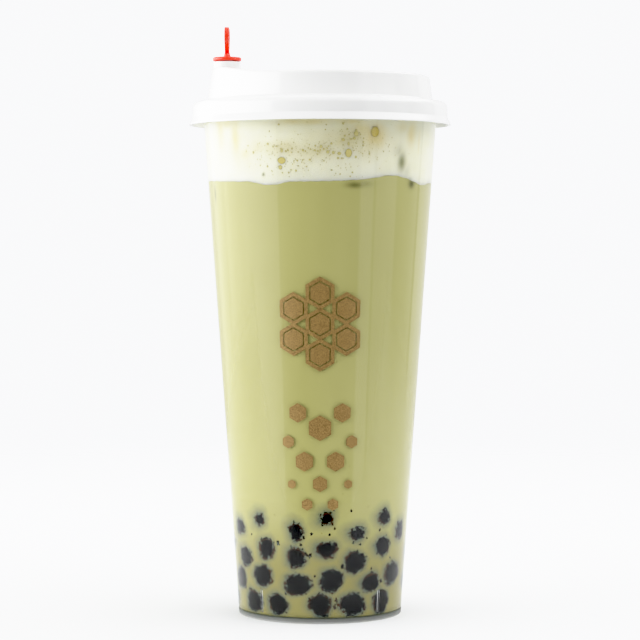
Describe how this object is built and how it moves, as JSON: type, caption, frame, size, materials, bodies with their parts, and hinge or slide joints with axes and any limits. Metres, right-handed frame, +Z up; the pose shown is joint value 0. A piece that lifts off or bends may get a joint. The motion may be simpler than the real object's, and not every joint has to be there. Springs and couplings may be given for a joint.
{
  "type": "matcha latte in a takeaway cup",
  "caption": "Tall tapered clear takeaway cup of milky green matcha latte with tapioca pearls at the bottom, a milk foam cap, a white sip lid and a red stopper.",
  "frame": {"origin": "centre of the cup's foot, on the surface it stands on", "axes": "+Z up along the cup's axis; the lid's sip spout and its stopper point to -X; the side shown in the picture faces -Y"},
  "size_m": [0.0962, 0.0962, 0.2151],
  "materials": {
    "cup": "clear moulded polypropylene",
    "lid": "glossy white moulded polypropylene",
    "plug": "satin red moulded polyethylene",
    "matcha": "opaque milky green drink",
    "foam": "pale milk foam with small bubbles",
    "pearls": "dark brown cooked tapioca"
  },
  "bodies": {
    "root": {"cup": "cup", "lid": "lid", "plug": "plug", "matcha": "matcha", "foam": "foam", "pearls": "pearls"}
  },
  "joints": []
}
